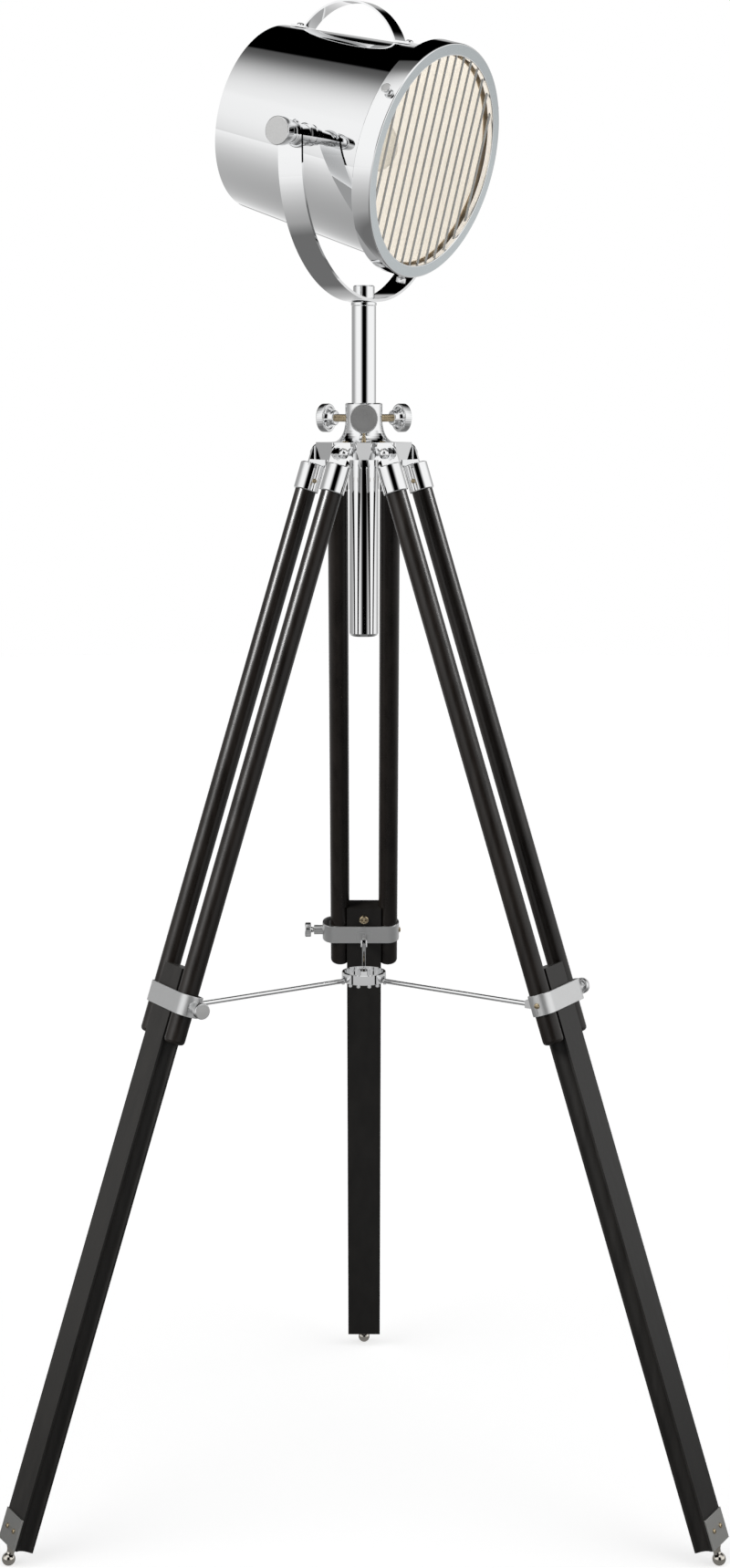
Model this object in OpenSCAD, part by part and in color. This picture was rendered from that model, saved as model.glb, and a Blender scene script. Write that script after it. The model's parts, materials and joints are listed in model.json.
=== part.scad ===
// Spotlight floor lamp on a folding wooden tripod.
// Frame: origin on the floor under the column axis, +Z up, one leg along +Y, front at -Y.

/* [Tripod] */
// Splay of each leg from the vertical, degrees
leg_splay = 18.5; // [17:0.5:20]
// Distance of a leg hinge from the column axis
hinge_r = 41.5; // [41:0.5:43]
// Diameter of a wooden pole
pole_d = 22; // [20:0.5:23]
// Distance of a pole's centre line from the leg's middle plane
pole_offset = 28; // [27.5:0.25:29]
// Distance along the leg from hinge to the poles' lower ends
pole_end = 635; // [625:5:660]
// Distance along the leg from hinge to the middle of the clamp band
clamp_at = 592; // [585:1:600]
// Distance along the leg from hinge to the top of the sliding bar
bar_top = 558; // [540:1:560]
// Distance along the leg from hinge to the bottom of the sliding bar
bar_end = 1183; // [1100:1:1200]
// Width of the sliding bar
bar_w = 40; // [36:0.5:42]
// Thickness of the sliding bar
bar_t = 20.6; // [18:0.2:21]
// Diameter of a ball foot
ball_d = 14; // [10:0.5:16]

/* [Column] */
// Diameter of the steel stem
stem_d = 25.4; // [24:0.1:26]
// Height of the stem's top end
stem_top = 1293.5; // [1280:0.5:1300]
// Length of the stem
stem_len = 253; // [230:1:256]
// Height of the column clamp knobs
column_knob_z = 1177.5; // [1176:0.5:1179]
// Diameter of a column clamp knob
column_knob_d = 30; // [24:1:30]

/* [Head] */
// Height of the tilt axis
pivot_z = 1459.5; // [1459:0.5:1461]
// Direction that the head faces, degrees from -Y towards +X
head_pan = 58; // [40:1:80]
// Tilt of the head below the horizontal, degrees
head_tilt = 15; // [0:1:20]
// Radius of the drum at its front
drum_r = 109.4; // [105:0.2:110]
// Radius of the drum at its back, where it is narrower
drum_back_r = 96; // [90:1:104]
// Distance of the drum's back from the tilt axis
drum_back = 120; // [110:1:122]
// Distance of the bezel's front face from the tilt axis
bezel_front = 90; // [88:1:92]
// Outer radius of the bezel
bezel_r = 119; // [117:0.5:121]
// Radius of the bezel's opening
bezel_open_r = 106.8; // [104:0.2:107]
// Number of wires in front of the glass
wire_count = 13; // [9:2:13]
// Spacing of the wires
wire_pitch = 15.4; // [12:0.2:15.6]
// Rise of the carrying handle above the drum
handle_rise = 35; // [20:0.5:38]

/* [Hidden] */
$fn = 48;
leg_az = [90, 210, 330];
knob_az = [270, 30, 150];
ring_screw_az = [60, 180, 300];
play = 0.1;               // on the diameter, between a shaft and its bore
gap = 0.3;                // between faces that pass each other

ball_at = bar_end + 15;   // ball centre, along the leg
ball_n = 4.5;             // ball centre, off the leg's middle plane
hinge_z = ball_d/2 + ball_at*cos(leg_splay) - ball_n*sin(leg_splay);

lug_w = 38;
lug_h = 18;
lug_top = hinge_z + 11;
lug_bottom = lug_top - lug_h;
lug_end = 48;
ear_t = 3;
ear_y = lug_w/2 + gap;
ferrule_top = 13;
ferrule_end = 42;
ferrule_d = pole_d + 4;
hinge_bolt_d = 6;
ferrule_screw_d = 2.6;
ferrule_screw_z = -31;
band_screw_d = 3;

collar_r = 19.5;
collar_top = lug_top + 40.5;
collar_straight = 18;
flare_r = 32.5;
guide_d = 30.4;
guide_bottom = 948;
stem_bottom = stem_top - stem_len;
knob_shank_d = 7;

band_t = 2;
band_h = 22;
band_in = pole_d/2 + 0.05;
band_out = band_in + band_t;
band_loop_y = 35.5;
clamp_shank_d = 5;
clamp_boss_d = 11;
clamp_knob_d = 17;
tab_at = clamp_at + 4;
tab_n = -20;
tab_t = 3;
pin_d = 3;

hub_z = 575;
hub_r = 24;
hub_in = 21.5;
hub_pin_r = 18;
tab_r = hinge_r + tab_at*sin(leg_splay) + tab_n*cos(leg_splay);
tab_z = hinge_z - tab_at*cos(leg_splay) + tab_n*sin(leg_splay);
rod_d = 5;
rod_len = norm([tab_r - hub_pin_r, tab_z - hub_z]);
rod_rise = atan2(hub_z - tab_z, tab_r - hub_pin_r);

collar_ring_h = 4;
yoke_w = 28;
yoke_t = 3;
yoke_r = 137;             // middle of the band
yoke_floor = stem_top + collar_ring_h;
yoke_straight = pivot_z - yoke_floor - yoke_r - yoke_t/2;
spindle_d = 8;
cap_d = 22.2;
cap_h = 14;

shell_t = 1.2;
drum_front = 78;
bezel_back = 68;
bezel_t = 2;
gasket_t = 1.2;
glass_t = 3.5;
glass_r = 113;
wire_d = 2.6;
wire_x = bezel_front - bezel_t - 2.5;
ring_screw_x = 80;
ring_screw_d = 10;
ring_shank_d = 4;
pivot_knob_d = 28.2;
pivot_hub_d = 21;
pivot_shank_d = 8;
pivot_boss_d = 22.5;
handle_w = 20.5;
handle_t = 2;
handle_mid = -39.5;
handle_spread = 135;      // between its two screws
drum_slope = atan((drum_r - drum_back_r)/(drum_back + drum_front));
gland_z = -62;
gland_bore_d = 7.5;

// ---------- frames ----------

// Leg frame: origin on the hinge axis, -Z down the leg, +X away from the lamp, Y across the leg.
module leg_frame(i) {
    rotate([0, 0, leg_az[i - 1]]) translate([hinge_r, 0, hinge_z]) rotate([0, -leg_splay, 0]) children();
}

// Head frame: origin at the tilt axis, +X out of the front, Y along the tilt axis.
module head_frame() {
    translate([0, 0, pivot_z]) rotate([0, 0, head_pan - 90]) rotate([0, head_tilt, 0]) children();
}

module yoke_frame() {
    rotate([0, 0, head_pan - 90]) children();
}

module along_x() { rotate([0, 90, 0]) children(); }
module along_y() { rotate([-90, 0, 0]) children(); }

// ---------- shared shapes ----------

// Round bar with softened ends, from z = 0 up.
module soft_cylinder(r, h, c) {
    rotate_extrude() polygon([[0, 0], [r - c, 0], [r, c], [r, h - c], [r - c, h], [0, h]]);
}

// Knurled disc from z = 0 up: a plain core with shallow grooves round its rim.
module knurled_disc(d, h, c, grooves, groove_d) {
    difference() {
        soft_cylinder(d/2, h, c);
        for (k = [0:grooves - 1]) rotate([0, 0, k*360/grooves])
            translate([d/2 + groove_d*0.28, 0, -1]) cylinder(d = groove_d, h = h + 2, $fn = 16);
    }
}

// Pan-head screw, head outwards along +Z from z = 0, shank inwards, with a cross recess.
module cross_screw(head_d, head_h, shank_d, shank_l) {
    difference() {
        union() {
            rotate_extrude() polygon(concat([[0, 0], [head_d/2, 0]],
                [for (a = [15:15:90]) [head_d/2*cos(a), head_h*(0.35 + 0.65*sin(a))]]));
            translate([0, 0, -shank_l]) cylinder(d = shank_d, h = shank_l + 0.1);
        }
        for (a = [0, 90]) rotate([0, 0, a])
            translate([-head_d*0.27, -head_d*0.06, head_h*0.45]) cube([head_d*0.54, head_d*0.12, head_h]);
    }
}

// ---------- tripod head ----------

module tripod_crown() {
    color("silver") difference() {
        union() {
            rotate_extrude($fn = 96) polygon(concat(
                [[0, lug_bottom], [hinge_r - 11, lug_bottom], [hinge_r - 8, lug_top], [flare_r, lug_top]],
                [for (a = [0:9:90]) [collar_r + (flare_r - collar_r)*(1 - sin(a)),
                                     lug_top + (collar_top - collar_straight - lug_top)*(1 - cos(a))]],
                [[collar_r, collar_top - 1], [collar_r - 1, collar_top], [0, collar_top]]));
            for (az = leg_az) rotate([0, 0, az]) crown_lug();
        }
        translate([0, 0, lug_bottom - 1]) cylinder(d = stem_d + play, h = collar_top - lug_bottom + 2);
        translate([0, 0, lug_bottom - 1]) cylinder(d = guide_d, h = 11);
        for (az = leg_az) rotate([0, 0, az]) translate([hinge_r, -30, hinge_z])
            along_y() cylinder(d = hinge_bolt_d + play, h = 60);
        for (az = knob_az) rotate([0, 0, az]) translate([0, 0, column_knob_z])
            along_x() cylinder(d = knob_shank_d + play, h = 40);
    }
}

module crown_lug() {
    translate([0, -lug_w/2, lug_bottom]) cube([lug_end - 2, lug_w, lug_h]);
    translate([lug_end - 4, -lug_w/2 + 2, lug_bottom]) cube([4, lug_w - 4, lug_h]);
    for (s = [-1, 1]) translate([lug_end - 2, s*(lug_w/2 - 2), lug_bottom]) cylinder(r = 2, h = lug_h);
}

module hinge_bolts() {
    reach = ear_y + ear_t + gap;
    color("silver") for (az = leg_az) rotate([0, 0, az]) translate([hinge_r, 0, hinge_z]) {
        translate([0, -reach, 0]) along_y() cylinder(d = hinge_bolt_d, h = 2*reach);
        for (s = [-1, 1]) rotate([s*-90, 0, 0]) translate([0, 0, reach]) {
            cylinder(d = 14.5, h = 1.4);
            translate([0, 0, 1.4]) cylinder(d = 13.6, h = 5, $fn = 6);
            translate([0, 0, 6.4]) rotate_extrude()
                polygon(concat([[0, 0]], [for (a = [0:15:90]) [5.6*cos(a), 1.4 + 5.6*sin(a)]]));
        }
    }
}

module guide_tube() {
    color("silver") difference() {
        translate([0, 0, guide_bottom]) rotate_extrude($fn = 64)
            polygon([[0, 0], [guide_d/2 - 3, 0], [guide_d/2 - 0.9, 0.9], [guide_d/2, 3],
                     [guide_d/2, lug_bottom + 10 - guide_bottom], [0, lug_bottom + 10 - guide_bottom]]);
        translate([0, 0, guide_bottom + 4]) cylinder(d = stem_d + 0.4, h = 300);
    }
}

module column_knob(i) {
    color("silver") rotate([0, 0, knob_az[i - 1]]) translate([0, 0, column_knob_z]) along_x() {
        translate([0, 0, stem_d/2 + gap]) cylinder(d = knob_shank_d, h = 24);
        translate([0, 0, 33.5]) soft_cylinder(8.7, 9, 1.2);
        translate([0, 0, 41.7]) knurled_disc(column_knob_d, 8.7, 1, 36, 2.2);
    }
}

// ---------- column and yoke ----------

module stem_tube() {
    color("silver") translate([0, 0, stem_bottom]) difference() {
        cylinder(d = stem_d, h = stem_len, $fn = 64);
        translate([0, 0, -1]) cylinder(d = stem_d - 3, h = stem_len + 2);
    }
}

module stem_collar() {
    plug = 16;
    color("silver") difference() {
        union() {
            translate([0, 0, stem_top - plug]) cylinder(d = stem_d - 3, h = plug + 0.5);
            translate([0, 0, stem_top]) soft_cylinder(stem_d/2 + 0.6, collar_ring_h - 0.2, 0.6);
        }
        translate([0, 0, stem_top - plug - 1]) cylinder(d = spindle_d + play, h = plug + 8);
    }
}

module yoke() {
    r_in = yoke_r - yoke_t/2;
    r_out = yoke_r + yoke_t/2;
    color("silver") yoke_frame() difference() {
        translate([0, 0, yoke_floor + r_out]) union() {
            difference() {
                along_x() translate([0, 0, -yoke_w/2]) cylinder(r = r_out, h = yoke_w, $fn = 180);
                along_x() translate([0, 0, -yoke_w/2 - 1]) cylinder(r = r_in, h = yoke_w + 2, $fn = 180);
                translate([-yoke_w, -200, 0]) cube([2*yoke_w, 400, 200]);
            }
            for (s = [-1, 1]) translate([0, s*yoke_r, 0]) {
                translate([-yoke_w/2, -yoke_t/2, -0.01]) cube([yoke_w, yoke_t, yoke_straight + 0.01]);
                translate([0, -yoke_t/2, yoke_straight]) along_y() cylinder(d = yoke_w, h = yoke_t);
            }
        }
        translate([0, 0, yoke_floor - 1]) cylinder(d = spindle_d, h = yoke_t + 4);
        translate([0, -200, pivot_z]) along_y() cylinder(d = pivot_shank_d + play, h = 400);
    }
}

module yoke_cap() {
    top = yoke_floor + yoke_t;
    color("silver") {
        translate([0, 0, top]) soft_cylinder(cap_d/2, cap_h, 1);
        translate([0, 0, stem_top - 12]) cylinder(d = spindle_d, h = top - stem_top + 13);
        translate([0, 0, stem_top - 20]) cylinder(d = 14, h = 3.5, $fn = 6);
        translate([0, 0, stem_top - 20]) cylinder(d = spindle_d, h = 9);
    }
}

// ---------- head ----------

// Radius of the drum's outside at a distance x along its axis.
function drum_at(x) = drum_back_r + (x + drum_back)*tan(drum_slope);

// Piece of the drum's cone from x = a to x = b, made smaller all round by inset.
module drum_cone(a, b, inset) {
    translate([a, 0, 0]) along_x() cylinder(r1 = drum_at(a) - inset, r2 = drum_at(b) - inset, h = b - a, $fn = 180);
}

// On top of the drum at the middle of the handle, with x along the sloping drum.
module handle_frame() {
    translate([handle_mid, 0, drum_at(handle_mid)]) rotate([0, -drum_slope, 0]) children();
}

module handle_holes() {
    handle_frame() for (s = [-1, 1]) translate([s*handle_spread/2, 0, -5]) cylinder(d = 4, h = 20);
}

module head_shell() {
    color("silver") head_frame() difference() {
        drum_cone(-drum_back, drum_front, 0);
        drum_cone(-drum_back - 1, drum_front + 1, shell_t);
        translate([0, -150, 0]) along_y() cylinder(d = pivot_shank_d + play, h = 300);
        handle_holes();
    }
}

module back_plate() {
    r = drum_back_r - shell_t;
    color("silver") head_frame() difference() {
        translate([-drum_back, 0, 0]) along_x() rotate_extrude($fn = 120)
            polygon([[0, 4], [r - 8, 4], [r - 3, 3], [r - 1.2, 0.8], [r, 0.5], [r, 12], [r - 1.2, 12],
                     [r - 1.2, 4.4], [r - 3, 4.6], [r - 8, 5.4], [0, 5.4]]);
        translate([-drum_back - 1, 0, gland_z]) along_x() cylinder(d = 10, h = 12);
    }
}

module cord_gland() {
    color("dimgray") head_frame() translate([-drum_back + 4, 0, gland_z]) rotate([0, -90, 0]) difference() {
        union() {
            rotate_extrude() polygon([[0, 0], [8, 0], [8, 3], [6.6, 5.5], [6.1, 12], [5.4, 13], [0, 13]]);
            translate([0, 0, -8]) cylinder(d = 10, h = 8.1);
            translate([0, 0, -5.4]) cylinder(d = 16, h = 4, $fn = 6);
        }
        translate([0, 0, -9]) cylinder(d = gland_bore_d, h = 24);
    }
}

module reflector() {
    rim = drum_r - shell_t - 1.8;
    deep = 105;
    throat = 24;
    wall = 1.2;
    color("linen") head_frame() translate([drum_front - 3, 0, 0]) rotate([0, -90, 0])
        rotate_extrude($fn = 96) polygon(concat(
            [for (a = [0:6:84]) [throat + (rim - throat)*cos(a), deep*sin(a)]],
            [[throat, deep], [throat, deep + wall]],
            [for (a = [84:-6:0]) [throat + (rim - throat)*cos(a) + wall*cos(a)*0.8, deep*sin(a) + wall*sin(a)]]));
}

module lamp_socket() {
    color("ivory") head_frame() translate([-98, 0, 0]) along_x() difference() {
        rotate_extrude() polygon([[0, 0], [19, 0], [20, 2], [20, 30], [22.5, 33], [22.5, 62], [20.5, 64], [0, 64]]);
        translate([0, 0, 34]) cylinder(d = 27.2, h = 40);
        for (s = [-1, 1]) translate([0, s*12, -1]) cylinder(d = 3.4, h = 12);
    }
    color("gray") head_frame() translate([-drum_back + 5.4, 0, 0]) along_x() difference() {
        rotate_extrude() polygon([[0, 0], [26, 0], [26, 1.5], [17, 1.5], [17, 15.1], [19, 15.1], [19, 16.6], [0, 16.6]]);
        translate([0, 0, -1]) cylinder(d = 8, h = 20);
    }
}

module bulb() {
    color("lightyellow") head_frame() translate([-62, 0, 0]) along_x() {
        rotate_extrude($fn = 64) polygon(concat(
            [[0, 0], [4, 0], [6, 2.5], [13.2, 4], [13.2, 29], [14.5, 34]],
            [for (a = [-58:8:86]) [29*cos(a), 70 + 29*sin(a)]], [[0, 99]]));
    }
}

module carry_handle() {
    span = handle_spread - 24;
    rise = handle_rise - handle_t;
    r = (span*span/4 + rise*rise)/(2*rise);
    color("silver") head_frame() difference() {
        handle_frame() translate([0, handle_w/2, 0]) rotate([90, 0, 0]) linear_extrude(handle_w) {
            intersection() {
                translate([0, rise - r]) difference() {
                    circle(r = r + handle_t, $fn = 180);
                    circle(r = r, $fn = 180);
                }
                translate([-span/2 - 8, 0]) square([span + 16, rise + 10]);
            }
            for (s = [-1, 1]) translate([s*(span/2 + 8.5) - 9, 0]) square([18, handle_t]);
        }
        handle_holes();
    }
}

module handle_screws() {
    color("silver") head_frame() handle_frame() for (s = [-1, 1])
        translate([s*handle_spread/2, 0, handle_t]) cross_screw(8, 2.6, 3.9, handle_t + shell_t);
}

module pivot_spacers() {
    reach = yoke_r - yoke_t/2 - gap;
    wall = drum_at(0);
    color("silver") head_frame() difference() {
        for (s = [-1, 1]) rotate([s*-90, 0, 0]) translate([0, 0, wall - 2]) {
            cylinder(d = pivot_boss_d - 3, h = reach - wall + 2);
            translate([0, 0, 2.6]) soft_cylinder(pivot_boss_d/2, 9, 1);
            translate([0, 0, reach - wall - 3]) soft_cylinder(pivot_boss_d/2, 5, 1);
        }
        drum_cone(-30, 30, 0);
        translate([0, -200, 0]) along_y() cylinder(d = pivot_shank_d + play, h = 400);
    }
}

// Side +1 is the left of the head seen from behind, side -1 the right.
module pivot_knob(side) {
    base = yoke_r + yoke_t/2 + gap;
    color("silver") head_frame() rotate([side*-90, 0, 0]) {
        translate([0, 0, base - 26]) cylinder(d = pivot_shank_d, h = 27);
        translate([0, 0, base]) cylinder(d = 24, h = 1.6);
        translate([0, 0, base + 1.6]) soft_cylinder(pivot_hub_d/2, 10.5, 0.8);
        translate([0, 0, base + 11.5]) soft_cylinder(pivot_knob_d/2, 11.2, 1);
    }
}

// ---------- bezel ----------

module bezel_ring() {
    inner = bezel_r - bezel_t;
    color("silver") head_frame() difference() {
        translate([bezel_back, 0, 0]) along_x() rotate_extrude($fn = 180) polygon([
            [drum_r + gap, 0], [bezel_r - 1, 0], [bezel_r, 1], [bezel_r, bezel_front - bezel_back - 1.2],
            [bezel_r - 1.2, bezel_front - bezel_back], [bezel_open_r + 0.8, bezel_front - bezel_back],
            [bezel_open_r, bezel_front - bezel_back - 0.8], [bezel_open_r, bezel_front - bezel_back - bezel_t],
            [inner, bezel_front - bezel_back - bezel_t], [inner, bezel_t], [drum_r + gap, bezel_t]]);
        for (az = ring_screw_az) ring_screw_frame(az) cylinder(d = ring_shank_d + play, h = 150);
    }
}

// Screw frame: +Z outwards, angle measured round the bezel from its top.
module ring_screw_frame(az) {
    translate([ring_screw_x, 0, 0]) rotate([az, 0, 0]) children();
}

module ring_screw(i) {
    color("silver") head_frame() ring_screw_frame(ring_screw_az[i - 1]) {
        translate([0, 0, glass_r + 1.2]) cylinder(d = ring_shank_d, h = bezel_r + 1 - glass_r);
        translate([0, 0, bezel_r + gap]) soft_cylinder(3.4, 3, 0.4);
        translate([0, 0, bezel_r + 2.4]) knurled_disc(ring_screw_d, 5.2, 0.7, 20, 1.3);
    }
}

module lens_gasket() {
    color("dimgray") head_frame() translate([drum_front + gap, 0, 0]) along_x() difference() {
        cylinder(r = glass_r, h = gasket_t, $fn = 120);
        translate([0, 0, -1]) cylinder(r = drum_r - 4, h = 4, $fn = 120);
    }
}

module lens_glass() {
    color("white", 0.4) head_frame() translate([drum_front + gap + gasket_t, 0, 0]) along_x()
        cylinder(r = glass_r, h = glass_t, $fn = 120);
}

module grille() {
    rim_r = 110;
    color("dimgray") head_frame() {
        translate([wire_x, 0, 0]) along_x() rotate_extrude($fn = 120)
            translate([rim_r, 0]) square([3.6, 4.6], center = true);
        for (k = [0:wire_count - 1]) {
            y = (k - (wire_count - 1)/2)*wire_pitch;
            half = sqrt(rim_r*rim_r - y*y);
            translate([wire_x, y, -half]) cylinder(d = wire_d, h = 2*half, $fn = 24);
        }
    }
}

// ---------- legs ----------

module pole(side) {
    r = pole_d/2;
    translate([0, side*pole_offset, -pole_end]) rotate_extrude() polygon([
        [0, 0], [r - 4, 0], [r - 2, 0.6], [r - 0.6, 2], [r, 4], [r, pole_end - ferrule_top - 3],
        [0, pole_end - ferrule_top - 3]]);
}

module leg_poles(i) {
    color("#1b1715") leg_frame(i) for (side = [-1, 1]) pole(side);
}

module leg_ferrules(i) {
    color("silver") leg_frame(i) for (side = [-1, 1]) difference() {
        union() {
            translate([0, side*pole_offset, -ferrule_end])
                soft_cylinder(ferrule_d/2, ferrule_end - ferrule_top, 0.8);
            translate([-10, side*(ear_y + ear_t/2) - ear_t/2, -ferrule_top - 4]) cube([20, ear_t, ferrule_top + 4]);
            translate([0, side*(ear_y + ear_t/2) - ear_t/2, 0]) along_y() cylinder(r = 10, h = ear_t);
        }
        translate([0, side*pole_offset, -ferrule_end - 1])
            cylinder(d = pole_d, h = ferrule_end - ferrule_top - 2);
        translate([0, side*ear_y - 15, 0]) along_y() cylinder(d = hinge_bolt_d + play, h = 30);
        translate([0, side*(pole_offset - ferrule_d/2) - 1.9, ferrule_screw_z]) along_y()
            cylinder(d = ferrule_screw_d + play, h = 3.8);
    }
}

// Ferrule screws face the gap between the poles; the third screw holds the band to its pole.
module leg_ferrule_screws(i) {
    color("#b08d57") leg_frame(i) {
        for (side = [-1, 1]) translate([0, side*(pole_offset - ferrule_d/2), ferrule_screw_z])
            rotate([side*90, 0, 0]) cross_screw(5, 1.6, ferrule_screw_d, 1.9);
        translate([0, -pole_offset - band_out, -clamp_at]) rotate([90, 0, 0])
            cross_screw(6, 2, band_screw_d, 1.9);
    }
}

module leg_clamp_band(i) {
    color("silver") leg_frame(i) translate([0, 0, -clamp_at]) {
        difference() {
            union() {
                band_loop(band_out, band_h);
                translate([0, band_loop_y + band_out - 1.5, 0]) along_y() cylinder(d = clamp_boss_d, h = 11.5);
            }
            band_loop(band_in, band_h + 2);
            translate([0, band_loop_y, 0]) along_y() cylinder(d = clamp_shank_d + play, h = 40);
            translate([0, -pole_offset - band_out - 1, 0]) along_y() cylinder(d = band_screw_d + play, h = 5);
        }
        difference() {
            union() {
                translate([tab_n, -tab_t/2, clamp_at - tab_at - 5]) cube([-tab_n - band_in - 0.5, tab_t, 10]);
                translate([tab_n, -tab_t/2, clamp_at - tab_at]) along_y() cylinder(r = 5, h = tab_t);
                translate([-band_out - 1, -9, -5.5]) cube([1.5, 18, 9]);
            }
            translate([tab_n, -10, clamp_at - tab_at]) along_y() cylinder(d = pin_d + play, h = 20);
        }
        difference() {
            translate([-8, pole_offset + 2, -8]) cube([16, pole_d/2, 16]);
            translate([0, pole_offset, -20]) cylinder(d = pole_d + 0.02, h = 40);
        }
    }
}

// Solid outline of the band: half round on one pole, drawn out beyond the other.
module band_loop(r, h) {
    translate([0, 0, -h/2]) {
        translate([0, -pole_offset, 0]) cylinder(r = r, h = h, $fn = 64);
        translate([0, band_loop_y, 0]) cylinder(r = r, h = h, $fn = 64);
        translate([-r, -pole_offset, 0]) cube([2*r, pole_offset + band_loop_y, h]);
    }
}

module leg_clamp_knob(i) {
    tip = pole_offset + pole_d/2 + 2 + gap;
    boss_end = band_loop_y + band_out + 10;
    color("silver") leg_frame(i) translate([0, 0, -clamp_at]) along_y() {
        translate([0, 0, tip]) cylinder(d = clamp_shank_d, h = boss_end + 4 - tip);
        translate([0, 0, boss_end + gap]) soft_cylinder(3.6, 4, 0.3);
        translate([0, 0, boss_end + 3.5]) knurled_disc(clamp_knob_d, 7, 0.8, 28, 1.7);
    }
}

module leg_bar(i) {
    color("#1d1b1a") leg_frame(i) difference() {
        translate([-bar_t/2, -bar_w/2, -bar_end]) cube([bar_t, bar_w, bar_end - bar_top]);
        for (side = [-1, 1]) translate([0, side*pole_offset, -bar_end - 1])
            cylinder(r = pole_d/2 + gap, h = bar_end - bar_top + 2);
        for (y = [-8, 8]) translate([bar_t/2 - 8, y, -bar_end + 17]) along_x() cylinder(d = 2.8, h = 10);
        translate([-bar_t/2 - 1, 0, -clamp_at + band_h/2 + 8.5]) along_x() cylinder(d = 4, h = 10);
    }
}

module leg_bar_screws(i) {
    color("#b08d57") leg_frame(i) {
        for (y = [-8, 8]) translate([bar_t/2 + band_t, y, -bar_end + 17]) along_x() cross_screw(5.5, 1.6, 2.8, 8);
        translate([-bar_t/2, 0, -clamp_at + band_h/2 + 8.5]) rotate([0, -90, 0]) cross_screw(11, 3, 4, 8);
    }
}

module leg_foot_plate(i) {
    color("gray") leg_frame(i) difference() {
        translate([bar_t/2, -bar_w/2, -bar_end]) cube([band_t, bar_w, 33]);
        for (y = [-8, 8]) translate([0, y, -bar_end + 17]) along_x() cylinder(d = 2.8, h = 30);
    }
}

module leg_ball_foot(i) {
    color("silver") leg_frame(i) translate([ball_n, 0, -ball_at]) rotate_extrude($fn = 64)
        polygon(concat([for (a = [-90:6:54]) [ball_d/2*cos(a), ball_d/2*sin(a)]],
                       [[3.9, 7.5], [4.3, 10], [5.6, 13], [6, ball_at - bar_end], [0, ball_at - bar_end]]));
}

module leg_rod(i) {
    block = [5, 7, 8];
    cheek_t = 1.8;
    cheek_y = tab_t/2 + gap;
    color("silver") rotate([0, 0, leg_az[i - 1]]) translate([tab_r, 0, tab_z]) rotate([0, rod_rise, 0]) {
        for (side = [-1, 1]) translate([0, side*(cheek_y + cheek_t/2) - cheek_t/2, 0]) {
            along_y() cylinder(r = 4, h = cheek_t);
            translate([-11, 0, -4]) cube([11, cheek_t, 8]);
        }
        translate([-15, -cheek_y - cheek_t, -4]) cube([8, 2*(cheek_y + cheek_t), 8]);
        translate([0, -cheek_y - cheek_t - 1.2, 0]) along_y() cylinder(d = pin_d, h = 2*(cheek_y + cheek_t + 1.2));
        translate([-rod_len, 0, 0]) along_x() cylinder(d = rod_d, h = rod_len - 12);
        translate([-rod_len - block.x/2, -block.y/2, -block.z/2]) cube(block);
    }
}

module spreader_hub() {
    up = 8;
    down = 3;
    slot_top = 4.6;
    slot_w = rod_d + 2.6;
    color("silver") translate([0, 0, hub_z]) difference() {
        union() {
            translate([0, 0, -down]) rotate_extrude($fn = 96) polygon([
                [hub_in, 0], [hub_r - 0.6, 0], [hub_r, 0.6], [hub_r, up + down - 0.6],
                [hub_r - 0.6, up + down], [hub_in, up + down]]);
            for (az = leg_az, turn = [-45, -20, 20, 45]) rotate([0, 0, az + turn])
                translate([(hub_r + hub_in)/2, 0, -down - 3]) soft_cylinder(1.9, 3.5, 0.7);
        }
        for (az = leg_az) rotate([0, 0, az]) translate([hub_in - 3, -slot_w/2, -down - 1])
            cube([10, slot_w, down + 1 + slot_top]);
    }
}

tripod_crown();
hinge_bolts();
guide_tube();
spreader_hub();
stem_tube();
stem_collar();
yoke();
yoke_cap();
head_shell();
back_plate();
cord_gland();
reflector();
lamp_socket();
bulb();
carry_handle();
handle_screws();
pivot_spacers();
pivot_knob(1);  // pivot_knob_left
pivot_knob(-1);  // pivot_knob_right
bezel_ring();
lens_gasket();
lens_glass();
grille();
for (i = [1:3]) {
    column_knob(i);
    ring_screw(i);
    leg_poles(i);
    leg_ferrules(i);
    leg_ferrule_screws(i);
    leg_clamp_band(i);
    leg_clamp_knob(i);
    leg_bar(i);
    leg_bar_screws(i);
    leg_foot_plate(i);
    leg_ball_foot(i);
    leg_rod(i);
}
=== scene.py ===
"""Tripod floor lamp: materials, detailed pieces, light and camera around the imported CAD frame."""
import json
import math

import bmesh
import bpy
from mathutils import Matrix, Vector


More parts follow.
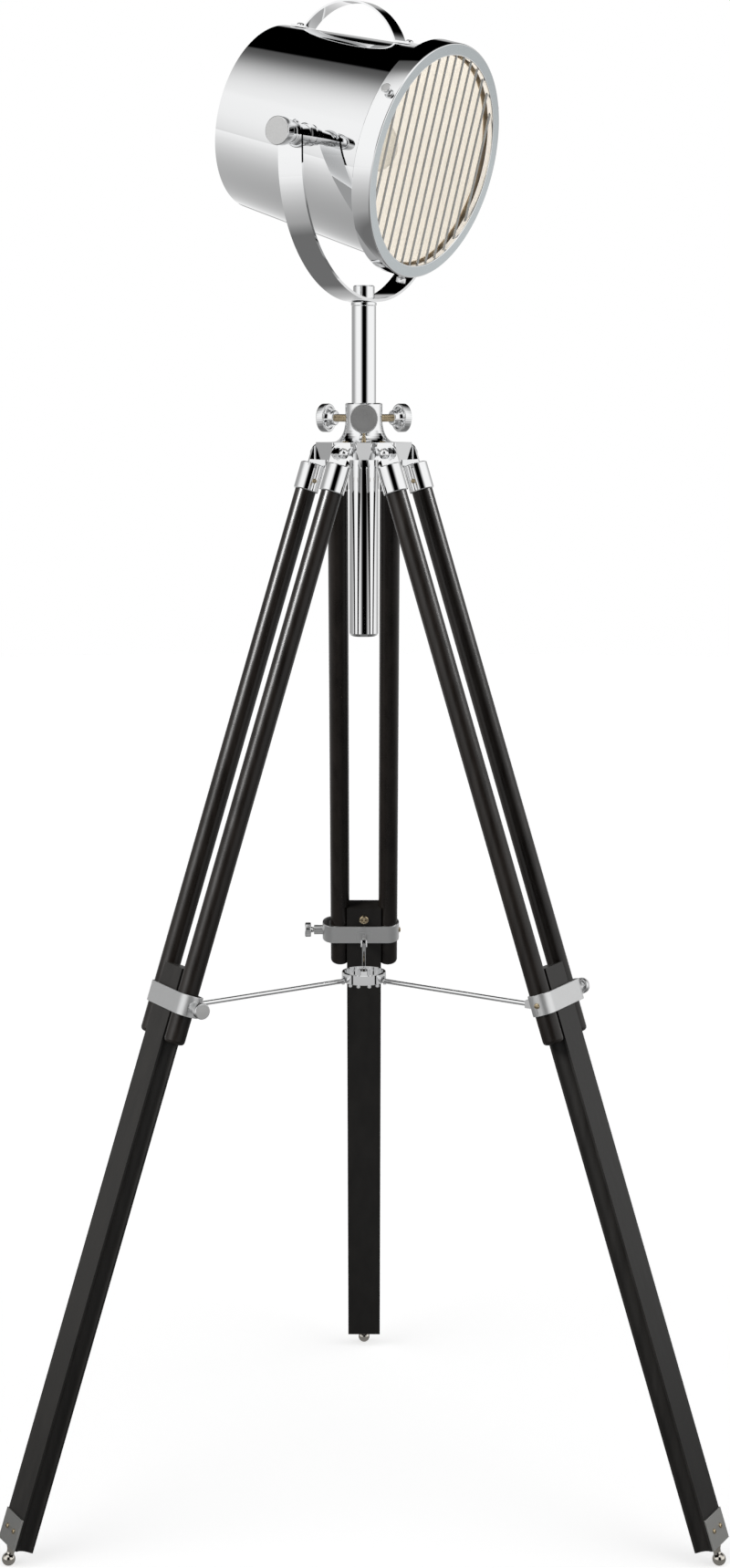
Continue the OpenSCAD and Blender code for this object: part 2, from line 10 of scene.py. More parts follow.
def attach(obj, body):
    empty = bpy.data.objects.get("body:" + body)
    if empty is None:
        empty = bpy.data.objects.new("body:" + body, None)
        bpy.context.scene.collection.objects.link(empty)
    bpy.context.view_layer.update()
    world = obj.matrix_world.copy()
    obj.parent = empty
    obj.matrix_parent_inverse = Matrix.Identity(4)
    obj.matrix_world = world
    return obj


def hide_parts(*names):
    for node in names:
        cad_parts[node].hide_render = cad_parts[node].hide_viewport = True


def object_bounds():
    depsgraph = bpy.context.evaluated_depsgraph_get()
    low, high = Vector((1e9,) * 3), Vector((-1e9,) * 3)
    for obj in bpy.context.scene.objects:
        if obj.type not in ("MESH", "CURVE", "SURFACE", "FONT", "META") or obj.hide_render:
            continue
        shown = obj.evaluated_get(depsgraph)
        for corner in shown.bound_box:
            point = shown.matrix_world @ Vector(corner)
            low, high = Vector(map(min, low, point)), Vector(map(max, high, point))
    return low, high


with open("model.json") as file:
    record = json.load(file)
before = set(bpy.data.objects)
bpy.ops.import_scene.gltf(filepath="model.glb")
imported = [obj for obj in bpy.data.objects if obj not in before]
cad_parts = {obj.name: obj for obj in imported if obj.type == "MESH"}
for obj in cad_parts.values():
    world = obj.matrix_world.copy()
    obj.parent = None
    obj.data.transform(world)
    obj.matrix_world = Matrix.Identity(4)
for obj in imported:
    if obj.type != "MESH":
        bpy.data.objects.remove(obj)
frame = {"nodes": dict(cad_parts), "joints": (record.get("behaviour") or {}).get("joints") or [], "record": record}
cad_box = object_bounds()
NODES = frame["nodes"]
JOINTS = {j["name"]: j for j in frame["joints"]}
MM = 0.001
LEGS = (1, 2, 3)
FLOOR_R = 9


# ---------- materials ----------

def new_material(name):
    """A material with its node tree cleared down to a Principled shader and an output."""
    mat = bpy.data.materials.new(name)
    mat.use_nodes = True
    tree = mat.node_tree
    tree.nodes.clear()
    out = tree.nodes.new("ShaderNodeOutputMaterial")
    shader = tree.nodes.new("ShaderNodeBsdfPrincipled")
    tree.links.new(shader.outputs["BSDF"], out.inputs["Surface"])
    return mat, tree, shader


def add(tree, kind, **sockets):
    """Adds a node and sets the named inputs; an input given a socket is linked to it."""
    node = tree.nodes.new(kind)
    for key, value in sockets.items():
        socket = node.inputs[key.replace("_", " ")]
        if isinstance(value, bpy.types.NodeSocket):
            tree.links.new(value, socket)
        else:
            socket.default_value = value
    return node


def calc(tree, operation, first, second=None, third=None, clamp=False):
    """One Math node; each operand is a number or a socket."""
    node = tree.nodes.new("ShaderNodeMath")
    node.operation = operation
    node.use_clamp = clamp
    for socket, value in zip(node.inputs, (first, second, third)):
        if isinstance(value, bpy.types.NodeSocket):
            tree.links.new(value, socket)
        elif value is not None:
            socket.default_value = value
    return node.outputs["Value"]


def fade(tree, value, start, stop):
    """0 below start, 1 above stop, eased between them; start may be the larger one."""
    node = add(tree, "ShaderNodeMapRange", Value=value)
    node.interpolation_type = "SMOOTHSTEP"
    node.inputs["From Min"].default_value = start
    node.inputs["From Max"].default_value = stop
    return node.outputs["Result"]


def curve(tree, value, points):
    """Grey ramp through (place, brightness) points, with place running from -1 to 1."""
    ramp = tree.nodes.new("ShaderNodeValToRGB")
    tree.links.new(calc(tree, "MULTIPLY_ADD", value, 0.5, 0.5), ramp.inputs["Fac"])
    elements = ramp.color_ramp.elements
    while len(elements) < len(points):
        elements.new(0.5)
    for element, (place, level) in zip(elements, points):
        element.position = place / 2 + 0.5
        element.color = (level, level, level, 1)
    return ramp.outputs["Color"]


def noise(tree, scale, detail=3.0, stretch=(1, 1, 1), rough=0.5):
    """Object-space noise; stretch below 1 draws the pattern out along that axis."""
    coord = tree.nodes.new("ShaderNodeTexCoord")
    mapping = add(tree, "ShaderNodeMapping", Vector=coord.outputs["Object"], Scale=stretch)
    tex = add(tree, "ShaderNodeTexNoise", Vector=mapping.outputs["Vector"], Scale=scale, Detail=detail,
              Roughness=rough)
    return tex.outputs["Fac"]


def remap(tree, value, low, high, start=0.3, stop=0.7):
    """Linear map of a 0..1 pattern to a range."""
    node = add(tree, "ShaderNodeMapRange", Value=value)
    node.inputs["From Min"].default_value = start
    node.inputs["From Max"].default_value = stop
    node.inputs["To Min"].default_value = low
    node.inputs["To Max"].default_value = high
    return node.outputs["Result"]


def blend_colour(tree, factor, first, second):
    """Colour that runs from the first to the second as the factor rises."""
    mix = tree.nodes.new("ShaderNodeMix")
    mix.data_type = "RGBA"
    tree.links.new(factor, mix.inputs["Factor"])
    mix.inputs["A"].default_value = (*first, 1)
    mix.inputs["B"].default_value = (*second, 1)
    return mix.outputs["Result"]


def bump(tree, shader, height, strength, distance):
    """Lets a pattern raise the surface by up to a distance in metres."""
    node = add(tree, "ShaderNodeBump", Height=height, Strength=strength, Distance=distance)
    tree.links.new(node.outputs["Normal"], shader.inputs["Normal"])


def metal(name, colour, rough_low, rough_high, scale=60, stretch=(1, 1, 1), bump_depth=0.0, tint=None):
    """Plated or bare metal: roughness varies faintly, and a satin one has fine brushing."""
    mat, tree, shader = new_material(name)
    shader.inputs["Metallic"].default_value = 1.0
    pattern = noise(tree, scale, 4.0, stretch)
    tree.links.new(remap(tree, pattern, rough_low, rough_high), shader.inputs["Roughness"])
    second = tint or tuple(c * 0.94 for c in colour)
    tree.links.new(blend_colour(tree, noise(tree, scale * 0.15), colour, second), shader.inputs["Base Color"])
    if bump_depth:
        bump(tree, shader, pattern, 0.5, bump_depth)
    return mat


def wood(name, dark, light, rough_low, rough_high, shine, grain_bump):
    """Dark lacquer over straight-grained wood: long streaks along the leg and fine pores."""
    mat, tree, shader = new_material(name)
    streaks = noise(tree, 90, 5.0, (1, 1, 0.05), 0.6)
    pores = noise(tree, 900, 2.0, (1, 1, 0.03))
    tree.links.new(blend_colour(tree, remap(tree, streaks, 0, 1), dark, light), shader.inputs["Base Color"])
    tree.links.new(remap(tree, streaks, rough_low, rough_high), shader.inputs["Roughness"])
    bump(tree, shader, pores, 0.25, grain_bump)
    shader.inputs["Specular IOR Level"].default_value = shine
    return mat


def glass(name, tint, slant_gloss):
    """Thin clear glass: what is behind it shows straight through, and its surface mirrors more at a slant."""
    mat, tree, shader = new_material(name)
    tree.nodes.remove(shader)
    clear = tree.nodes.new("ShaderNodeBsdfTransparent")
    clear.inputs["Color"].default_value = (*tint, 1)
    mirror = tree.nodes.new("ShaderNodeBsdfGlossy")
    tree.links.new(remap(tree, noise(tree, 14, 4.0), 0.0, 0.02), mirror.inputs["Roughness"])
    facing = add(tree, "ShaderNodeLayerWeight", Blend=0.5).outputs["Facing"]
    slant = calc(tree, "POWER", facing, 5.0)
    mix = tree.nodes.new("ShaderNodeMixShader")
    tree.links.new(calc(tree, "MULTIPLY_ADD", slant, slant_gloss, 0.03), mix.inputs["Fac"])
    tree.links.new(clear.outputs["BSDF"], mix.inputs[1])
    tree.links.new(mirror.outputs["BSDF"], mix.inputs[2])
    tree.links.new(mix.outputs["Shader"], tree.nodes["Material Output"].inputs["Surface"])
    return mat


def enamel(name, colour, shade, roughness, painted_glow=0.0):
    """Sprayed paint with faint orange peel; a glow given paints light into it, an emission in the paint's own
    colour that brightens the inside of a reflector as if lit.
    """
    mat, tree, shader = new_material(name)
    if painted_glow:
        shader.inputs["Emission Color"].default_value = (*colour, 1)
        shader.inputs["Emission Strength"].default_value = painted_glow
    tree.links.new(blend_colour(tree, noise(tree, 18), colour, shade), shader.inputs["Base Color"])
    peel = noise(tree, 700, 2.0)
    tree.links.new(remap(tree, peel, roughness, roughness + 0.08), shader.inputs["Roughness"])
    bump(tree, shader, peel, 0.15, 0.0002)
    return mat


MATERIALS = {
    "chrome": metal("mirror_chrome", (0.93, 0.935, 0.94), 0.012, 0.03, 30),
    "knob_face": metal("turned_satin_face", (0.66, 0.66, 0.655), 0.36, 0.39, 900, bump_depth=0.000004),
    "satin_chrome": metal("satin_chrome", (0.84, 0.845, 0.845), 0.40, 0.44, 700, bump_depth=0.000003),
    "bezel_face": metal("bezel_front", (0.56, 0.60, 0.615), 0.14, 0.18, 500),
    "steel": metal("brushed_steel_plate", (0.54, 0.54, 0.52), 0.34, 0.42, 900, (1, 1, 0.06), 0.000006),
    "nickel": metal("polished_nickel", (0.74, 0.70, 0.63), 0.04, 0.08, 60),
    "brass": metal("yellow_passivated_steel", (0.74, 0.60, 0.38), 0.16, 0.30, 300, tint=(0.50, 0.42, 0.30)),
    "black_wire": metal("black_nickel_wire", (0.40, 0.405, 0.40), 0.08, 0.15, 200),
    "dark_wood": wood("lacquered_pole_wood", (0.0028, 0.0021, 0.0017), (0.006, 0.0045, 0.0036),
                      0.24, 0.33, 0.30, 0.00006),
    "bar_wood": wood("lacquered_bar_wood", (0.003, 0.0026, 0.0022), (0.0055, 0.0048, 0.004),
                     0.38, 0.50, 0.30, 0.00005),
    # The cream reflector paint glows: painted light that brightens the inside of the head, where no lamp is lit.
    "reflector_cream": enamel("cream_enamel_painted_glow", (0.88, 0.835, 0.775), (0.86, 0.81, 0.745), 0.35, 0.36),
    "porcelain": enamel("glazed_porcelain", (0.86, 0.84, 0.79), (0.82, 0.80, 0.75), 0.12),
    "black_plastic": enamel("black_nylon", (0.018, 0.018, 0.019), (0.024, 0.024, 0.025), 0.5),
    "filament": metal("tungsten_wire", (0.30, 0.24, 0.18), 0.35, 0.45, 300),
    "rubber_seal": enamel("silicone_seal", (0.42, 0.30, 0.17), (0.36, 0.25, 0.14), 0.45),
    "clear_glass": glass("clear_front_glass", (0.985, 0.99, 0.985), 0.9),
    "bulb_glass": glass("clear_bulb_glass", (0.97, 0.965, 0.95), 0.95),
}


def finish_cad(node, material, bevel=0.0):
    """A CAD node keeps its shape and gets a material; a bevel width in metres softens its edges."""
    obj = NODES[node]
    obj.data.materials.clear()
    obj.data.materials.append(MATERIALS[material])
    if bevel:
        weld = obj.modifiers.new("joined_corners", "WELD")
        weld.merge_threshold = 0.01 * MM
        soft = obj.modifiers.new("soft_edges", "BEVEL")
        soft.width = bevel
        soft.segments = 3
        soft.limit_method = "ANGLE"
        soft.angle_limit = math.radians(40)
        even = obj.modifiers.new("even_normals", "WEIGHTED_NORMAL")
        even.keep_sharp = True


EDGES = {"bar": 1.2 * MM, "clamp_band": 0.5 * MM, "foot_plate": 0.4 * MM}
LEG_PREFIX = len("leg_1_")
for sub in frame["record"]["subparts"]:
    finish_cad(sub["node"], sub["material_slot"], EDGES.get(sub["node"][LEG_PREFIX:], 0.0))


# ---------- shape helpers ----------

def joint_frame(joint, side_hint=Vector((0, 0, 1))):
    """Matrix at a joint, with +Z along its axis and +Y as near side_hint as it can be."""
    origin = Vector(JOINTS[joint].get("pos_m", (0, 0, 0)))
    z = Vector(JOINTS[joint]["axis"]).normalized()
    y = (side_hint - z * side_hint.dot(z)).normalized()
    x = y.cross(z)
    return Matrix.Translation(origin) @ Matrix((x, y, z)).transposed().to_4x4()


def extent(node, frame_matrix):
    """Lowest and highest corner of a CAD node in the axes of a frame."""
    inverse = frame_matrix.inverted()
    points = [inverse @ v.co for v in NODES[node].data.vertices]
    low = Vector(min(p[i] for p in points) for i in range(3))
    high = Vector(max(p[i] for p in points) for i in range(3))
    return low, high


def arc(centre_r, centre_z, radius, start, stop, steps=5):
    """Points (radius, height) along a quarter or other arc, for a lathe outline; angles in degrees."""
    angles = [math.radians(start + (stop - start) * k / steps) for k in range(steps + 1)]
    return [(centre_r + radius * math.cos(a), centre_z + radius * math.sin(a)) for a in angles]


def lathe(shape, outline, segments=64, wave=None):
    """Turns an outline of (radius, height, material) about Z. wave(angle, radius) may move a radius."""
    rings = []
    for radius, height, _ in outline:
        if radius < 1e-7:
            rings.append([shape.verts.new((0, 0, height))])
            continue
        ring = []
        for k in range(segments):
            angle = 2 * math.pi * k / segments
            r = wave(angle, radius) if wave else radius
            ring.append(shape.verts.new((r * math.cos(angle), r * math.sin(angle), height)))
        rings.append(ring)
    for step, (low, high) in enumerate(zip(rings, rings[1:])):
        for k in range(segments):
            after = (k + 1) % segments
            corners = [low[k % len(low)], low[after % len(low)],
                       high[after % len(high)], high[k % len(high)]]
            corners = list(dict.fromkeys(corners))
            if len(corners) > 2:
                face = shape.faces.new(corners)
                face.material_index = outline[step + 1][2]
                face.smooth = True


def tube(shape, points, radius, sides=16, material=0, capped=True):
    """A round bar along a list of points."""
    rings = []
    for k, point in enumerate(points):
        before, after = points[max(k - 1, 0)], points[min(k + 1, len(points) - 1)]
        along = (after - before).normalized()
        if k == 0:
            side = along.orthogonal().normalized()
        else:
            side = (side - along * side.dot(along)).normalized()
        up = along.cross(side)
        turn = [2 * math.pi * n / sides for n in range(sides)]
        rings.append([shape.verts.new(point + radius * (side * math.cos(t) + up * math.sin(t))) for t in turn])
    for low, high in zip(rings, rings[1:]):
        for n in range(sides):
            face = shape.faces.new([low[n], low[(n + 1) % sides], high[(n + 1) % sides], high[n]])
            face.smooth = True
            face.material_index = material
    if capped:
        for ring, flip in ((rings[0], True), (rings[-1], False)):
            face = shape.faces.new(list(reversed(ring)) if flip else ring)
            face.material_index = material


def piece(name, shape, frame_matrix, body, materials, replaced=(), sharp=40):
    """Makes the mesh object in the row frame, rides it on its body and gives it its materials."""
    bmesh.ops.recalc_face_normals(shape, faces=shape.faces)
    data = bpy.data.meshes.new(name)
    shape.to_mesh(data)
    shape.free()
    data.transform(frame_matrix)
    data.set_sharp_from_angle(angle=math.radians(sharp))
    for material in materials:
        data.materials.append(MATERIALS[material])
    obj = bpy.data.objects.new(name, data)
    bpy.context.scene.collection.objects.link(obj)
    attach(obj, body)
    if replaced:
        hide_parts(*replaced)


# ---------- turned knobs ----------

# Places of a knob's materials in its list.
CHROME, FACE, THREAD = range(3)


def fine_knurl(rim, depth, count):
    """Radius change that gives the rim of a knob its fine straight knurling."""
    def wave(angle, radius):
        if radius < rim - depth * 1.5:
            return radius
        return radius - depth * (0.5 + 0.5 * math.cos(count * angle))
    return wave


def threaded(start, stop, radius, pitch):
    """Outline of a screw shank: small rounded ridges, one every pitch."""
    turns = max(1, int((stop - start) / pitch))
    step = (stop - start) / turns
    ridge = ((0.88, 0), (0.97, 0.25), (1.0, 0.5), (0.97, 0.75))
    outline = [(radius * wide, start + k * step + step * along, THREAD)
               for k in range(turns) for wide, along in ridge]
    return outline + [(radius * 0.88, stop, THREAD)]


def turned_knob(name, shank_r, hub_r, hub_len, disc_t, knurls, knurl_depth, flange_r=0.0):
    """A clamping knob: threaded shank, waisted hub, dished inner side, knurled rim and a satin outer face.
    Its body, its CAD node and its turning joint share one name."""
    matrix = joint_frame(name.replace("_knob", "") + "_turn" if name.startswith("leg_") else name + "_turn")
    low, high = extent(name, matrix)
    rim = max(high.x, high.y)
    inner = high.z - disc_t
    hub = inner - hub_len
    edge = min(1.2 * MM, disc_t * 0.18)
    flange_t = 1.6 * MM
    tip = 0.5 * MM
    pitch = 1.25 * MM
    outline = [(0, low.z, THREAD), (shank_r * 0.7, low.z, THREAD)]
    outline += threaded(low.z + tip, hub, shank_r, pitch)
    if flange_r:
        outline += [(flange_r, hub, CHROME), (flange_r, hub + flange_t, CHROME)]
        hub += flange_t
    outline += [(r, z, CHROME) for r, z in arc(hub_r * 0.90 - edge, hub + edge, edge, -90, 0, 3)]
    outline += [(hub_r * 0.84, hub + (inner - hub) * 0.5, CHROME), (hub_r * 0.95, inner - edge * 0.4, CHROME)]
    outline += [(hub_r * 1.12, inner + edge * 0.9, CHROME), (rim * 0.74, inner + edge * 0.9, CHROME),
                (rim * 0.80, inner + edge * 0.2, CHROME)]
    outline += [(r, z, CHROME) for r, z in arc(rim - edge, inner + edge, edge, -90, 0, 4)]
    outline += [(rim, inner + disc_t * 0.5, CHROME)]
    outline += [(r, z, CHROME) for r, z in arc(rim - edge, high.z - edge, edge, 0, 70, 4)]
    outline += [(rim - edge * 1.15, high.z - edge * 0.08, FACE), (rim * 0.55, high.z - edge * 0.02, FACE),
                (0, high.z, FACE)]
    shape = bmesh.new()
    lathe(shape, outline, knurls * 4, fine_knurl(rim, knurl_depth, knurls))
    piece(name + "_turned", shape, matrix, name, ["chrome", "knob_face", "brass"], [name])


def make_knobs():
    """Sizes are shank radius, hub radius, hub length, disc thickness, number of knurls and their depth."""
    for n in (1, 2, 3):
        turned_knob(f"column_knob_{n}", 4 * MM, 8.7 * MM, 8.2 * MM, 8.7 * MM, 60, 0.22 * MM)
        turned_knob(f"ring_screw_{n}", 2 * MM, 3.6 * MM, 2.1 * MM, 5.2 * MM, 40, 0.06 * MM)
    for n in LEGS:
        turned_knob(f"leg_{n}_clamp_knob", 2.5 * MM, 3.6 * MM, 3.3 * MM, 7 * MM, 40, 0.15 * MM)
    for side in ("left", "right"):
        turned_knob(f"pivot_knob_{side}", 4 * MM, 11.5 * MM, 11.5 * MM, 11.2 * MM, 72, 0.10 * MM,
                    flange_r=12 * MM)


# ---------- lamp head ----------

# Head axes: X out through the glass, Y along the tilt axis. FRONTWARD has Z out through the glass.
FORWARD = Vector(JOINTS["bezel_slide"]["axis"])
TILT = Vector(JOINTS["head_tilt"]["axis"])
HEAD = Matrix.Translation(Vector(JOINTS["head_tilt"]["pos_m"])) @ Matrix((
    FORWARD, TILT, FORWARD.cross(TILT))).transposed().to_4x4()
FRONTWARD = HEAD @ Matrix.Rotation(math.pi / 2, 4, "Y")


def make_grille():
    """Thirteen straight wires held in a hoop in front of the glass."""
    low, high = extent("grille", HEAD)
    radius = 1.3 * MM
    hoop_r = high.y - 1.8 * MM
    place = low.x + (high.x - low.x) / 2
    count = 13
    pitch = 15.4 * MM
    shape = bmesh.new()
    for k in range(count):
        y = (k - (count - 1) / 2) * pitch
        half = math.sqrt(hoop_r ** 2 - y ** 2)
        steps = [Vector((place, y, half * (n / 4 - 1))) for n in range(9)]
        tube(shape, steps, radius, 20)
    piece("grille_wires", shape, HEAD, "bezel", ["black_wire"], ["grille"])
    shape = bmesh.new()
    ring = [Vector((place, hoop_r * math.sin(t), hoop_r * math.cos(t)))
            for t in (2 * math.pi * n / 144 for n in range(145))]
    tube(shape, ring, 1.75 * MM, 12, capped=False)
    bmesh.ops.remove_doubles(shape, verts=shape.verts, dist=1e-6)
    piece("grille_hoop", shape, HEAD, "bezel", ["chrome"])


def make_bulb():
    """Clear globe bulb: blown envelope, glass bead with its support wires, coiled filament and screw cap."""
    low, high = extent("bulb", FRONTWARD)
    base, top = low.z, high.z
    globe_r = (high.x - low.x) / 2
    centre = top - globe_r
    neck_r = 13.2 * MM
    neck_top = base + 30 * MM
    wall = 0.7 * MM
    outer = [(neck_r, base + 25.5 * MM), (neck_r, neck_top)]
    outer += [(neck_r + 1.3 * MM, neck_top + 5 * MM)] + arc(0, centre, globe_r, -56, 90, 22)
    inner = [(max(r - wall, 0), z - (wall if r < 1e-6 else 0)) for r, z in reversed(outer)]
    shape = bmesh.new()
    lathe(shape, [(r, z, 0) for r, z in outer + inner + outer[:1]], 72)
    piece("bulb_envelope", shape, FRONTWARD, "head", ["bulb_glass"], ["bulb"], sharp=60)
    shape = bmesh.new()
    cap = [(0, base, 0), (4 * MM, base, 0), (6 * MM, base + 2.5 * MM, 0), (11.5 * MM, base + 4 * MM, 0)]
    turns = 6
    rise = 19 * MM / turns
    for k in range(turns):
        z = base + 4.6 * MM + k * rise
        cap += [(12.2 * MM, z, 0), (13.1 * MM, z + rise * 0.3, 0), (13.1 * MM, z + rise * 0.6, 0)]
    cap += [(12.6 * MM, base + 24 * MM, 0), (13.15 * MM, base + 26.5 * MM, 0), (0, base + 26.5 * MM, 0)]
    lathe(shape, cap, 64)
    piece("bulb_cap", shape, FRONTWARD, "head", ["nickel"])
    shape = bmesh.new()
    stem_top = centre - 6 * MM
    lathe(shape, [(0, neck_top - 3 * MM, 0), (6 * MM, neck_top - 3 * MM, 0), (3.2 * MM, neck_top + 6 * MM, 0),
                  (2.6 * MM, stem_top - 3 * MM, 0)]
          + [(r, z, 0) for r, z in arc(0, stem_top, 3.4 * MM, -60, 90, 8)], 32)
    piece("bulb_stem", shape, FRONTWARD, "head", ["bulb_glass"])
    shape = bmesh.new()
    reach = 12 * MM
    height = centre + 6 * MM
    for side in (-1, 1):
        tube(shape, [Vector((0.8 * MM * side, 0, stem_top)), Vector((reach * 0.6 * side, 0, centre)),
                     Vector((reach * side, 0, height))], 0.35 * MM, 8)
    coils = 26
    per_coil = 8
    coil_r = 0.7 * MM
    coil = []
    for n in range(coils * per_coil + 1):
        t = n / (coils * per_coil)
        turn = 2 * math.pi * n / per_coil
        sag = 3 * MM * (1 - (2 * t - 1) ** 2)
        coil.append(Vector((reach * (2 * t - 1), coil_r * math.cos(turn),
                            height + sag + coil_r * math.sin(turn))))
    tube(shape, coil, 0.16 * MM, 6)
    piece("bulb_filament", shape, FRONTWARD, "head", ["filament"])


def make_bezel():
    """Rolled chrome ring around the glass: a skirt over the drum, a soft outer corner and a flat pale front."""
    low, high = extent("bezel_ring", FRONTWARD)
    rim = high.x
    inverse = HEAD.inverted()
    opening = min((inverse @ v.co).yz.length for v in NODES["bezel_ring"].data.vertices)
    back, front = low.z, high.z
    sheet = 2 * MM
    bore = extent("head_shell", FRONTWARD)[1].x + 0.4 * MM
    corner = 1.2 * MM
    outline = [(bore, back, 0), (rim - 0.8 * MM, back, 0), (rim, back + 0.8 * MM, 0)]
    outline += [(r, z, 0) for r, z in arc(rim - corner, front - corner, corner, 0, 90, 6)]
    outline += [(rim - corner - 0.2 * MM, front, 1), (opening + 0.9 * MM, front, 1)]
    outline += [(r, z, 0) for r, z in arc(opening + 0.7 * MM, front - 0.7 * MM, 0.7 * MM, 90, 180, 4)]
    skirt = rim - 3.4 * MM
    outline += [(opening, front - sheet, 0), (skirt, front - sheet, 0), (skirt, back + sheet, 0),
                (bore, back + sheet, 0), (bore, back, 0)]
    shape = bmesh.new()
    lathe(shape, outline, 180)
    piece("bezel_rolled_ring", shape, FRONTWARD, "bezel", ["chrome", "bezel_face"], ["bezel_ring"])


def cream_lip(name, body, inner, start, stop):
    """A thin cream band around the light path, from start to stop along it."""
    outer = inner + 0.5 * MM
    shape = bmesh.new()
    lathe(shape, [(inner, start, 0), (inner, stop, 0), (outer, stop, 0), (outer, start, 0), (inner, start, 0)],
          144)
    piece(name, shape, FRONTWARD, body, ["reflector_cream"])


def make_liners():
    """Cream lips between the reflector and the glass, and between the glass and the front, in the cream paint with
    its painted glow.
    """
    rim = extent("reflector", FRONTWARD)[1]
    glass_low, glass_high = extent("lens_glass", FRONTWARD)
    face = extent("bezel_ring", FRONTWARD)[1].z - 2.1 * MM
    cream_lip("reflector_lip", "head", rim.x - 0.4 * MM, rim.z - 1.5 * MM, glass_low.z - 1.3 * MM)
    cream_lip("glass_clip", "bezel", rim.x + 0.2 * MM, glass_high.z + 0.1 * MM, face)


make_knobs()
make_grille()
make_bezel()
make_liners()
make_bulb()


# ---------- camera, floor and light ----------

def make_camera():
    """In front of the lamp and looking slightly down, framed so that the lamp fills the picture."""
    image_h = 1719
    focal_px = 2857.0
    pitch = math.radians(8.777)
    data = bpy.data.cameras.new("camera")
    data.sensor_width = 36
    data.lens = focal_px / image_h * data.sensor_width
    cam = bpy.data.objects.new("camera", data)
    bpy.context.scene.collection.objects.link(cam)
    cam.location = (0.0012, -2.7655, 1.2154)
    cam.rotation_euler = (math.pi / 2 - pitch, 0, 0)
    bpy.context.scene.camera = cam


def make_world():
    """A white studio. Reflections see bright walls at both sides, a ceiling that darkens to a black flag, a
    dark strip where the photographer stands and greyer corners behind; the camera sees only the white
    backdrop."""
    world = bpy.data.worlds.new("studio")
    world.use_nodes = True
    bpy.context.scene.world = world
    tree = world.node_tree
    tree.nodes.clear()
    out = tree.nodes.new("ShaderNodeOutputWorld")
    studio = tree.nodes.new("ShaderNodeBackground")
    coord = tree.nodes.new("ShaderNodeTexCoord")
    split = tree.nodes.new("ShaderNodeSeparateXYZ")
    tree.links.new(coord.outputs["Generated"], split.inputs["Vector"])
    x, y, z = split.outputs
    level = calc(tree, "SQRT", calc(tree, "SUBTRACT", 1.0, calc(tree, "MULTIPLY", z, z), clamp=True))
    across = calc(tree, "DIVIDE", x, level)
    away = calc(tree, "DIVIDE", y, level)
    total = curve(tree, z, [(-1, 0.16), (-0.64, 0.36), (-0.48, 0.53), (-0.31, 0.76), (-0.12, 0.96), (0.1, 1.0),
                            (1, 1.0)])
    ceiling = fade(tree, z, 0.40, 0.50)
    overhead = calc(tree, "MULTIPLY", ceiling, fade(tree, y, -0.36, 0.28))
    black_flag = calc(tree, "MULTIPLY", ceiling, fade(tree, y, 0.22, 0.26))
    left_gap = calc(tree, "MULTIPLY", fade(tree, across, 0.1, -0.3), fade(tree, away, -0.45, 0.4))
    right_gap = calc(tree, "MULTIPLY", fade(tree, across, -0.3, 0.1), fade(tree, away, 0.2, 0.8))
    photographer = calc(tree, "MULTIPLY", fade(tree, across, -0.60, -0.16), fade(tree, across, 0.76, 0.30))
    for limit in (fade(tree, away, -0.4, -0.6), fade(tree, z, 0.85, 0.7), fade(tree, z, -0.55, -0.4)):
        photographer = calc(tree, "MULTIPLY", photographer, limit)
    for shade, depth in ((overhead, 0.80), (black_flag, 1.0), (left_gap, 0.62), (right_gap, 0.55),
                         (photographer, 1.0)):
        total = calc(tree, "MULTIPLY", total, calc(tree, "MULTIPLY_ADD", shade, -depth, 1.0))
    studio.inputs["Color"].default_value = (1, 1, 1, 1)
    tree.links.new(total, studio.inputs["Strength"])
    backdrop = tree.nodes.new("ShaderNodeBackground")
    backdrop.inputs["Color"].default_value = (1, 1, 1, 1)
    backdrop.inputs["Strength"].default_value = 1.0
    path = tree.nodes.new("ShaderNodeLightPath")
    mix = tree.nodes.new("ShaderNodeMixShader")
    tree.links.new(path.outputs["Is Camera Ray"], mix.inputs["Fac"])
    tree.links.new(studio.outputs["Background"], mix.inputs[1])
    tree.links.new(backdrop.outputs["Background"], mix.inputs[2])
    tree.links.new(mix.outputs["Shader"], out.inputs["Surface"])


def make_softbox(name, azimuth, elevation, distance, size, radiance, lit_things):
    """Square softbox aimed at the middle of the lamp; azimuth 0 is beside the camera and 90 to its right."""
    aim = (cad_box[0] + cad_box[1]) / 2
    a, e = math.radians(azimuth), math.radians(elevation)
    away = Vector((math.sin(a) * math.cos(e), -math.cos(a) * math.cos(e), math.sin(e)))
    data = bpy.data.lights.new(name, "AREA")
    data.shape = "SQUARE"
    data.size = size
    data.energy = radiance * math.pi * size * size
    light = bpy.data.objects.new(name, data)
    bpy.context.scene.collection.objects.link(light)
    light.location = aim + away * distance
    light.rotation_euler = away.to_track_quat("Z", "Y").to_euler()
    light.light_linking.receiver_collection = lit_things


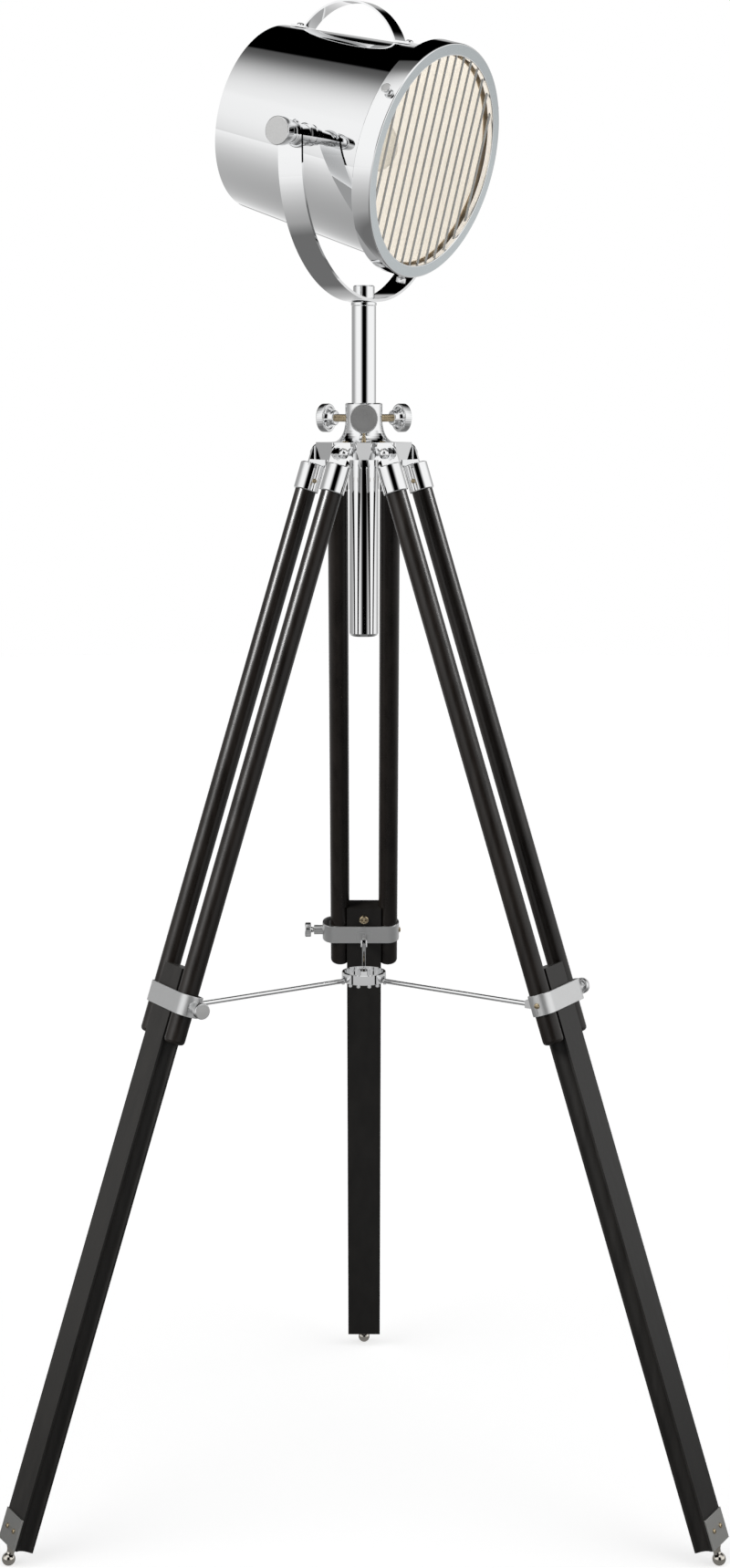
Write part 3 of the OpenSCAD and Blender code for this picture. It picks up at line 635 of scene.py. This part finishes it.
def make_lights():
    """Two softboxes that give the lacquered wood its long highlights; the chrome is lit by the studio alone."""
    wooden = bpy.data.collections.new("lit_by_softboxes")
    for sub in frame["record"]["subparts"]:
        if sub["material_slot"] in ("dark_wood", "bar_wood"):
            wooden.objects.link(NODES[sub["node"]])
    make_softbox("softbox_left", -52, 33, 3.2, 1.0, 80, wooden)
    make_softbox("softbox_right", 84, 36, 3.2, 1.1, 36, wooden)


def make_floor():
    """White seamless paper with faint contact shadows. Reflections see a painted grey glow in place of the paper,
    darkest in a ring about 0.6 to 1.3 m out, lighter at the middle and rising towards the rim.
    """
    shape = bmesh.new()
    bmesh.ops.create_circle(shape, cap_ends=True, segments=96, radius=FLOOR_R)
    data = bpy.data.meshes.new("studio_floor")
    shape.to_mesh(data)
    shape.free()
    floor = bpy.data.objects.new("studio_floor", data)
    bpy.context.scene.collection.objects.link(floor)
    mat, tree, shader = new_material("white_paper")
    shader.inputs["Base Color"].default_value = (0.9, 0.9, 0.9, 1)
    shader.inputs["Roughness"].default_value = 0.9
    shader.inputs["Emission Color"].default_value = (1, 1, 1, 1)
    shader.inputs["Emission Strength"].default_value = 0.62
    coord = tree.nodes.new("ShaderNodeTexCoord")
    length = tree.nodes.new("ShaderNodeVectorMath")
    length.operation = "LENGTH"
    tree.links.new(coord.outputs["Object"], length.inputs[0])
    reach = calc(tree, "MULTIPLY_ADD", length.outputs["Value"], 2 / FLOOR_R, -1.0)
    # Painted reflection: glossy rays see a grey emission in place of the lit paper, darker in a ring around the
    # lamp, which darkens the lamp's reflections of the floor.
    painted_reflection_glow = tree.nodes.new("ShaderNodeEmission")
    tree.links.new(curve(tree, reach, [(-1, 0.38), (-0.86, 0.16), (-0.71, 0.16), (-0.62, 0.38), (-0.51, 0.46),
                                       (-0.27, 0.62), (0, 0.75), (0.4, 0.87), (1, 0.96)]),
                   painted_reflection_glow.inputs["Color"])
    path = tree.nodes.new("ShaderNodeLightPath")
    mix = tree.nodes.new("ShaderNodeMixShader")
    tree.links.new(path.outputs["Is Glossy Ray"], mix.inputs["Fac"])
    tree.links.new(shader.outputs["BSDF"], mix.inputs[1])
    tree.links.new(painted_reflection_glow.outputs["Emission"], mix.inputs[2])
    tree.links.new(mix.outputs["Shader"], tree.nodes["Material Output"].inputs["Surface"])
    data.materials.append(mat)


make_camera()
make_world()
make_lights()
make_floor()
bpy.context.scene.view_settings.view_transform = "Standard"
